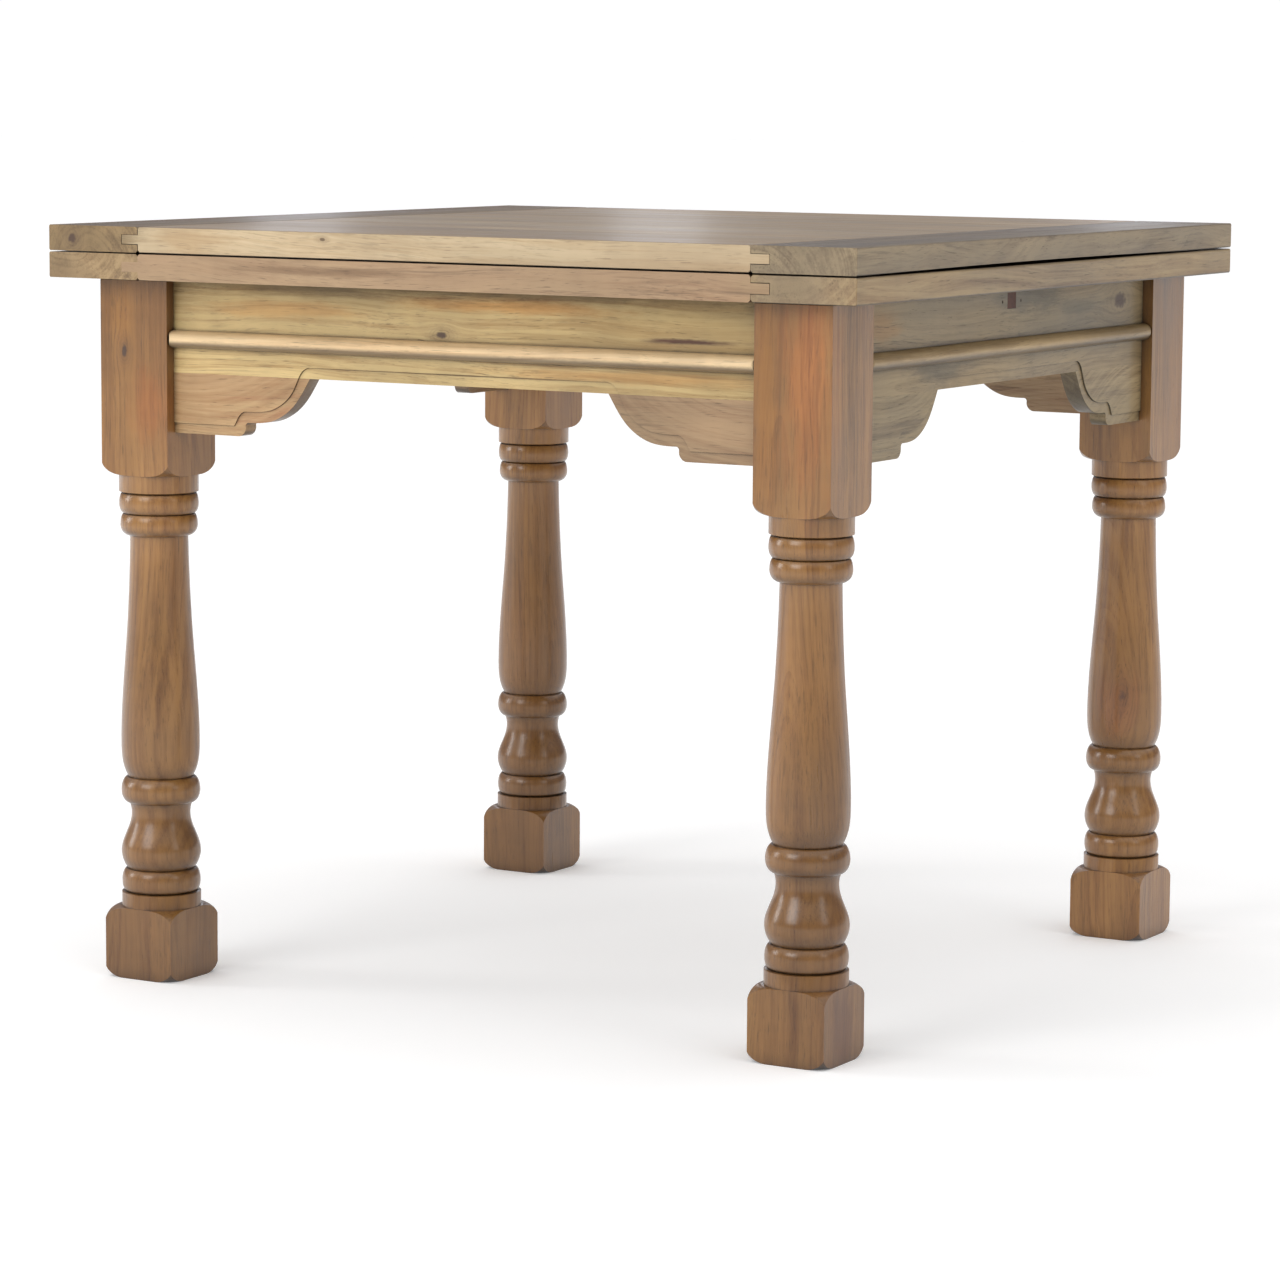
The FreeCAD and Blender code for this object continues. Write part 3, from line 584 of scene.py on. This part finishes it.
class TABLE_OT_upper_leaf(bpy.types.Operator):
    """Finish the upper leaf's planks and breadboard ends"""
    bl_idname = "table.upper_leaf"
    bl_label = "Upper leaf"

    def execute(self, context):
        palettes = {"panel": colours("leaf_pale", "leaf_deep", "leaf_tint", "streak"),
                    "left": wood("upper_left"), "right": wood("upper_right")}
        stains = [(-0.385, LEAF_FRONT, 0.767, 0.05, 0.03, 0.9, DULL_END),
                  (-0.29, LEAF_FRONT, 0.767, 0.06, 0.02, 0.55, WARM_END)]
        finish_leaf("upper", 3, palettes, UPPER_TOP, 0.22,
                    knots=[(-0.127, LEAF_FRONT, 0.7728, 0.0022)],
                    left_knots=[(-0.4335, LEAF_FRONT, 0.7668, 0.006)],
                    stains=stains)
        return {"FINISHED"}


class TABLE_OT_lower_leaf(bpy.types.Operator):
    """Finish the lower leaf's planks and breadboard ends"""
    bl_idname = "table.lower_leaf"
    bl_label = "Lower leaf"

    def execute(self, context):
        palettes = {end: wood("lower_" + end) for end in ("panel", "left", "right")}
        stains = [(0.375, LEAF_FRONT, 0.741, 0.05, 0.03, 0.6, GREEN_END),
                  (-0.12, LEAF_FRONT, 0.741, 0.14, 0.006, 0.6, DARK_LINE)]
        finish_leaf("lower", 5, palettes, LOWER_TOP, 0.6, stains=stains)
        return {"FINISHED"}


class TABLE_OT_legs(bpy.types.Operator):
    """Finish the four turned legs"""
    bl_idname = "table.legs"
    bl_label = "Legs"

    def execute(self, context):
        palette = colours("leg_pale", "leg_deep", "leg_tint", "streak")
        piths = {"front_right": (0, -0.055, 0.01), "front_left": (0, -0.02, 0.06),
                 "back_right": (0, 0.055, -0.03), "back_left": (0, -0.03, -0.06)}
        knots = {"front_left": [(-0.392, LEG_FRONT, 0.652, 0.004)],
                 "back_right": [(0.395, 0.328, 0.27, 0.006)]}
        stains = {"front_right": [(0.352, LEG_FRONT, 0.64, 0.016, 0.14, 0.8, HONEY),
                                  (0.396, LEG_FRONT, 0.66, 0.035, 0.14, 0.8, EMBER),
                                  (0.36, LEG_FRONT, 0.57, 0.02, 0.04, 0.4, UMBER),
                                  # Painted shade on the block's right face, turned from the
                                  # light.
                                  (LEG_RIGHT, -0.37, 0.66, 0.03, 0.16, 0.85, LEG_BLOCK_SHADE),
                                  # Darker brown and painted shade on the foot's right face.
                                  (LEG_RIGHT, -0.37, 0.03, 0.03, 0.06, 0.85, FOOT_BROWN_AND_SHADE),
                                  (0.39, LEG_FRONT, 0.04, 0.006, 0.05, 0.8, UMBER)],
                  "front_left": [(-0.36, LEG_FRONT, 0.60, 0.03, 0.05, 0.7, EMBER),
                                 (-0.40, LEG_FRONT, 0.69, 0.03, 0.04, 0.5, HONEY)],
                  "back_right": [(0.39, 0.33, 0.26, 0.03, 0.05, 0.6, EMBER),
                                 # Painted shade on the back leg's block.
                                 (0.40, 0.34, 0.66, 0.08, 0.14, 0.8, LEG_BLOCK_SHADE)]}
        # Painted shade at the feet: how dark each leg is drawn at the bottom.
        foot_shades = {"back_right": 0.95}
        for number, corner in enumerate(CORNERS):
            dress_timber("leg_" + corner, palette, context.scene.table_sizes.edge_round,
                         grain="Z", seed=31 + number, pith=piths[corner], rings=0.55,
                         clouds=0.6, streaks=0.14, slope=0.05, lacquer=1.8, sweep=0.45,
                         under=0.55, fade=(0.02, 0.58, foot_shades.get(corner, 0.74)),
                         knots=knots.get(corner, ()), stains=stains.get(corner, ()))
        return {"FINISHED"}


class TABLE_OT_aprons(bpy.types.Operator):
    """Finish the four aprons"""
    bl_idname = "table.aprons"
    bl_label = "Aprons"

    def execute(self, context):
        long_board = colours("apron_pale", "apron_deep", "apron_tint", "streak")
        knots = {"front": [(-0.016, APRON_FRONT, 0.681, 0.0042)],
                 "right": [(APRON_RIGHT, 0.268, 0.702, 0.010)],
                 "back": [(0.19, -APRON_FRONT, 0.69, 0.007)]}
        # The first front mark is the painted shadow of the leaves along the apron's top.
        stains = {"front": [(0.0, APRON_FRONT, 0.729, 0.7, 0.020, 0.9, LEAF_SHADOW),
                            # Painted shadow under the lip of the sunk margin.
                            (0.0, -0.3975, 0.6425, 0.2, 0.0010, 0.8, LIP_SHADOW),
                            (0.262, APRON_FRONT, 0.6845, 0.07, 0.0034, 1.0, RED_SPLIT),
                            (0.05, APRON_FRONT, 0.712, 0.16, 0.010, 0.75, GOLD),
                            (-0.2, APRON_FRONT, 0.70, 0.12, 0.012, 0.5, GOLD),
                            (0.20, APRON_FRONT, 0.648, 0.2, 0.008, 0.5, GOLD)],
                  "right": [(APRON_RIGHT, 0.045, 0.716, 0.10, 0.020, 0.85, BLUE_STAIN),
                            (APRON_RIGHT, 0.15, 0.700, 0.10, 0.012, 0.6, BLUE_STAIN),
                            (APRON_RIGHT, -0.16, 0.652, 0.09, 0.022, 0.8, BLUE_STAIN),
                            (APRON_RIGHT, -0.29, 0.70, 0.05, 0.03, 0.5, GOLD)]}
        for number, side in enumerate(SIDES):
            palette = wood("end_apron") if side in ("right", "left") else long_board
            dress_timber("apron_" + side, palette,
                         context.scene.table_sizes.edge_round * 0.7,
                         grain=SIDE_GRAIN[side], seed=41 + number, clouds=0.75,
                         streaks=0.4, knots=knots.get(side, ()),
                         stains=stains.get(side, ()))
        return {"FINISHED"}


class TABLE_OT_mouldings(bpy.types.Operator):
    """Finish the half-round beads on the aprons"""
    bl_idname = "table.mouldings"
    bl_label = "Bead mouldings"

    def execute(self, context):
        for number, side in enumerate(SIDES):
            palette = wood("end_bead" if side in ("left", "right") else "long_bead")
            dress_timber("bead_moulding_" + side, palette,
                         context.scene.table_sizes.edge_round * 0.5,
                         grain=SIDE_GRAIN[side], seed=51 + number, rings=0.55, clouds=0.4)
        return {"FINISHED"}


class TABLE_OT_brackets(bpy.types.Operator):
    """Finish the scrolled brackets under the aprons"""
    bl_idname = "table.brackets"
    bl_label = "Brackets"

    def execute(self, context):
        pink = (tone(178, 148, 105), tone(148, 112, 72), colours("rose")[0],
                tone(150, 86, 58))
        brown, grey = wood("brown_bracket"), wood("grey_bracket")
        ends = {"front": ("left", "right"), "right": ("front", "back"),
                "back": ("left", "right"), "left": ("front", "back")}
        number = 0
        for side in SIDES:
            for end in ends[side]:
                number += 1
                palette = grey if side == "right" else brown
                if (side, end) == ("front", "left"):
                    palette = pink
                dress_timber("bracket_%s_%s" % (side, end), palette,
                             context.scene.table_sizes.edge_round * 0.7,
                             grain=SIDE_GRAIN[side], seed=61 + number, rings=0.7,
                             streaks=0.4, slope=0.5)
        return {"FINISHED"}


class TABLE_OT_slide(bpy.types.Operator):
    """Finish the slide rail, its cleats, the guides and the keepers"""
    bl_idname = "table.slide"
    bl_label = "Slide"

    def execute(self, context):
        rail, streak = colours("rail", "streak")
        edge = context.scene.table_sizes.edge_round * 0.6
        dress_timber("slide_rail", (rail, tone(70, 38, 26), tone(84, 50, 34), streak), edge,
                     seed=81, lacquer=0.2)
        inner = (("rail_cleat_left", "Y"), ("rail_cleat_right", "Y"), ("guide_front", "X"),
                 ("guide_back", "X"), ("keeper_left", "Y"), ("keeper_right", "Y"))
        for number, (node, grain) in enumerate(inner):
            dress_timber(node, wood("inner"), edge, grain=grain, seed=82 + number,
                         lacquer=0.0)
        return {"FINISHED"}


class TABLE_OT_corner_blocks(bpy.types.Operator):
    """Finish the blocks inside the frame's corners"""
    bl_idname = "table.corner_blocks"
    bl_label = "Corner blocks"

    def execute(self, context):
        for number, corner in enumerate(CORNERS):
            turn = math.pi / 4 if corner in ("back_right", "front_left") else -math.pi / 4
            dress_timber("corner_block_" + corner, wood("corner_block"),
                         context.scene.table_sizes.edge_round * 0.7, tilt=turn,
                         seed=91 + number, lacquer=0.0)
        return {"FINISHED"}


class TABLE_OT_hinges(bpy.types.Operator):
    """Finish the three brass hinges and their screws"""
    bl_idname = "table.hinges"
    bl_label = "Hinges"

    def execute(self, context):
        brass = metal("brushed_brass", tone(206, 172, 104), tone(150, 112, 62), 0.28,
                      (900, 60, 900))
        nodes = [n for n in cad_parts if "hinge" in n]
        for node in sorted(nodes):
            dress(node, brass)
        return {"FINISHED"}


class TABLE_OT_fixings(bpy.types.Operator):
    """Finish the leg bolts, washers, nuts, screws and nails"""
    bl_idname = "table.fixings"
    bl_label = "Bolts, screws and nails"

    def execute(self, context):
        zinc = metal("zinc_plate", tone(178, 180, 184), tone(138, 138, 140), 0.34,
                     (420, 420, 420))
        for node in ("leg_bolts", "leg_washers", "leg_nuts", "block_screws",
                     "guide_screws"):
            dress(node, zinc)
        dress("rail_nails", metal("dull_nail", tone(96, 84, 74), tone(62, 50, 42), 0.5,
                                  (500, 500, 500)))
        return {"FINISHED"}


def panel_light(name, place, aim, width, height, power, colour):
    """Rectangular soft light that faces aim."""
    data = bpy.data.lights.new(name, "AREA")
    data.shape = "RECTANGLE"
    data.size, data.size_y = width, height
    data.energy = power
    data.color = colour
    lamp = bpy.data.objects.new(name, data)
    lamp.location = place
    turn = (Vector(aim) - Vector(place)).to_track_quat("-Z", "Y")
    lamp.rotation_euler = turn.to_euler()
    bpy.context.scene.collection.objects.link(lamp)


def studio_air():
    """World light: bright overhead and at the horizon, quieter between them."""
    world = bpy.data.worlds.new("studio_air")
    bpy.context.scene.world = world
    world.use_nodes = True
    tree = world.node_tree
    tree.nodes.clear()
    height = wire(tree, "SeparateXYZ",
                  {0: wire(tree, "TexCoord").outputs["Generated"]}).outputs[2]
    walls = mixed(tree, band(tree, height, 0.02, 0.035), HORIZON, WALLS)
    air = mixed(tree, band(tree, height, 0.25, 0.7), walls, OVERHEAD)
    background = wire(tree, "Background", {"Color": air})
    background.inputs["Strength"].default_value = 1.0
    output = wire(tree, "OutputWorld")
    tree.links.new(background.outputs[0], output.inputs[0])


def floor_disc(look):
    """Pale floor with faint scuffs, under the table's feet."""
    count = 96
    points = [(look.floor_radius * math.cos(2 * math.pi * i / count),
               look.floor_radius * math.sin(2 * math.pi * i / count), 0.0)
              for i in range(count)]
    mesh = bpy.data.meshes.new("floor")
    mesh.from_pydata(points, [], [list(range(count))])
    floor = bpy.data.objects.new("floor", mesh)
    bpy.context.scene.collection.objects.link(floor)
    material, tree, shader = blank_material("studio_floor")
    scuffs = noise(tree, wire(tree, "TexCoord").outputs["Object"], (2.0, 2.0, 2.0), 4.0)
    base = opaque(tuple(look.floor))
    low = (base[0] * 0.985, base[1] * 0.985, base[2] * 0.985, 1)
    tree.links.new(mixed(tree, scuffs, low, base), shader.inputs["Base Color"])
    shader.inputs["Roughness"].default_value = 0.9
    shader.inputs["Specular IOR Level"].default_value = 0.1
    shader.inputs["Emission Color"].default_value = (1, 1, 1, 1)
    shader.inputs["Emission Strength"].default_value = 0.14
    mesh.materials.append(material)


class TABLE_OT_stage(bpy.types.Operator):
    """Make the floor, the lights and the camera"""
    bl_idname = "table.stage"
    bl_label = "Stage"

    def execute(self, context):
        look = context.scene.table_stage
        floor_disc(look)
        studio_air()
        for window in WINDOWS:
            panel_light(*window)
        data = bpy.data.cameras.new("camera")
        data.sensor_width = 36.0
        data.lens = look.lens
        data.clip_start = 0.05
        data.clip_end = 300.0
        camera = bpy.data.objects.new("camera", data)
        context.scene.collection.objects.link(camera)
        turn = Matrix((CAMERA_RIGHT, CAMERA_UP, CAMERA_BACK)).transposed().to_4x4()
        camera.matrix_world = Matrix.Translation(CAMERA_PLACE) @ turn
        context.scene.camera = camera
        context.scene.view_settings.view_transform = "Standard"
        return {"FINISHED"}


OPERATORS = (TABLE_OT_stage, TABLE_OT_upper_leaf, TABLE_OT_lower_leaf, TABLE_OT_legs,
             TABLE_OT_aprons, TABLE_OT_mouldings, TABLE_OT_brackets, TABLE_OT_slide,
             TABLE_OT_corner_blocks, TABLE_OT_hinges, TABLE_OT_fixings)


class TABLE_PT_sidebar(bpy.types.Panel):
    """Lists the table's pieces and the values that shape their finish"""
    bl_idname = "TABLE_PT_sidebar"
    bl_label = "Fold-over table"
    bl_space_type = "VIEW_3D"
    bl_region_type = "UI"
    bl_category = "Table"

    def draw(self, context):
        for group in ("table_colours", "table_sizes", "table_stage"):
            holder = getattr(context.scene, group)
            for name in holder.__annotations__:
                self.layout.prop(holder, name)
        for operator in OPERATORS:
            self.layout.operator(operator.bl_idname)


GROUPS = {"table_colours": TimberColours, "table_sizes": FinishSizes,
          "table_stage": StageLook}
CLASSES = (*GROUPS.values(), *OPERATORS, TABLE_PT_sidebar)


def register():
    for cls in CLASSES:
        bpy.utils.register_class(cls)
    for name, group in GROUPS.items():
        setattr(bpy.types.Scene, name, PointerProperty(type=group))


def unregister():
    for name in GROUPS:
        delattr(bpy.types.Scene, name)
    for cls in reversed(CLASSES):
        bpy.utils.unregister_class(cls)


def main():
    register()
    for operator in OPERATORS:
        getattr(bpy.ops.table, operator.bl_idname.split(".")[1])()


if __name__ == "__main__":
    main()
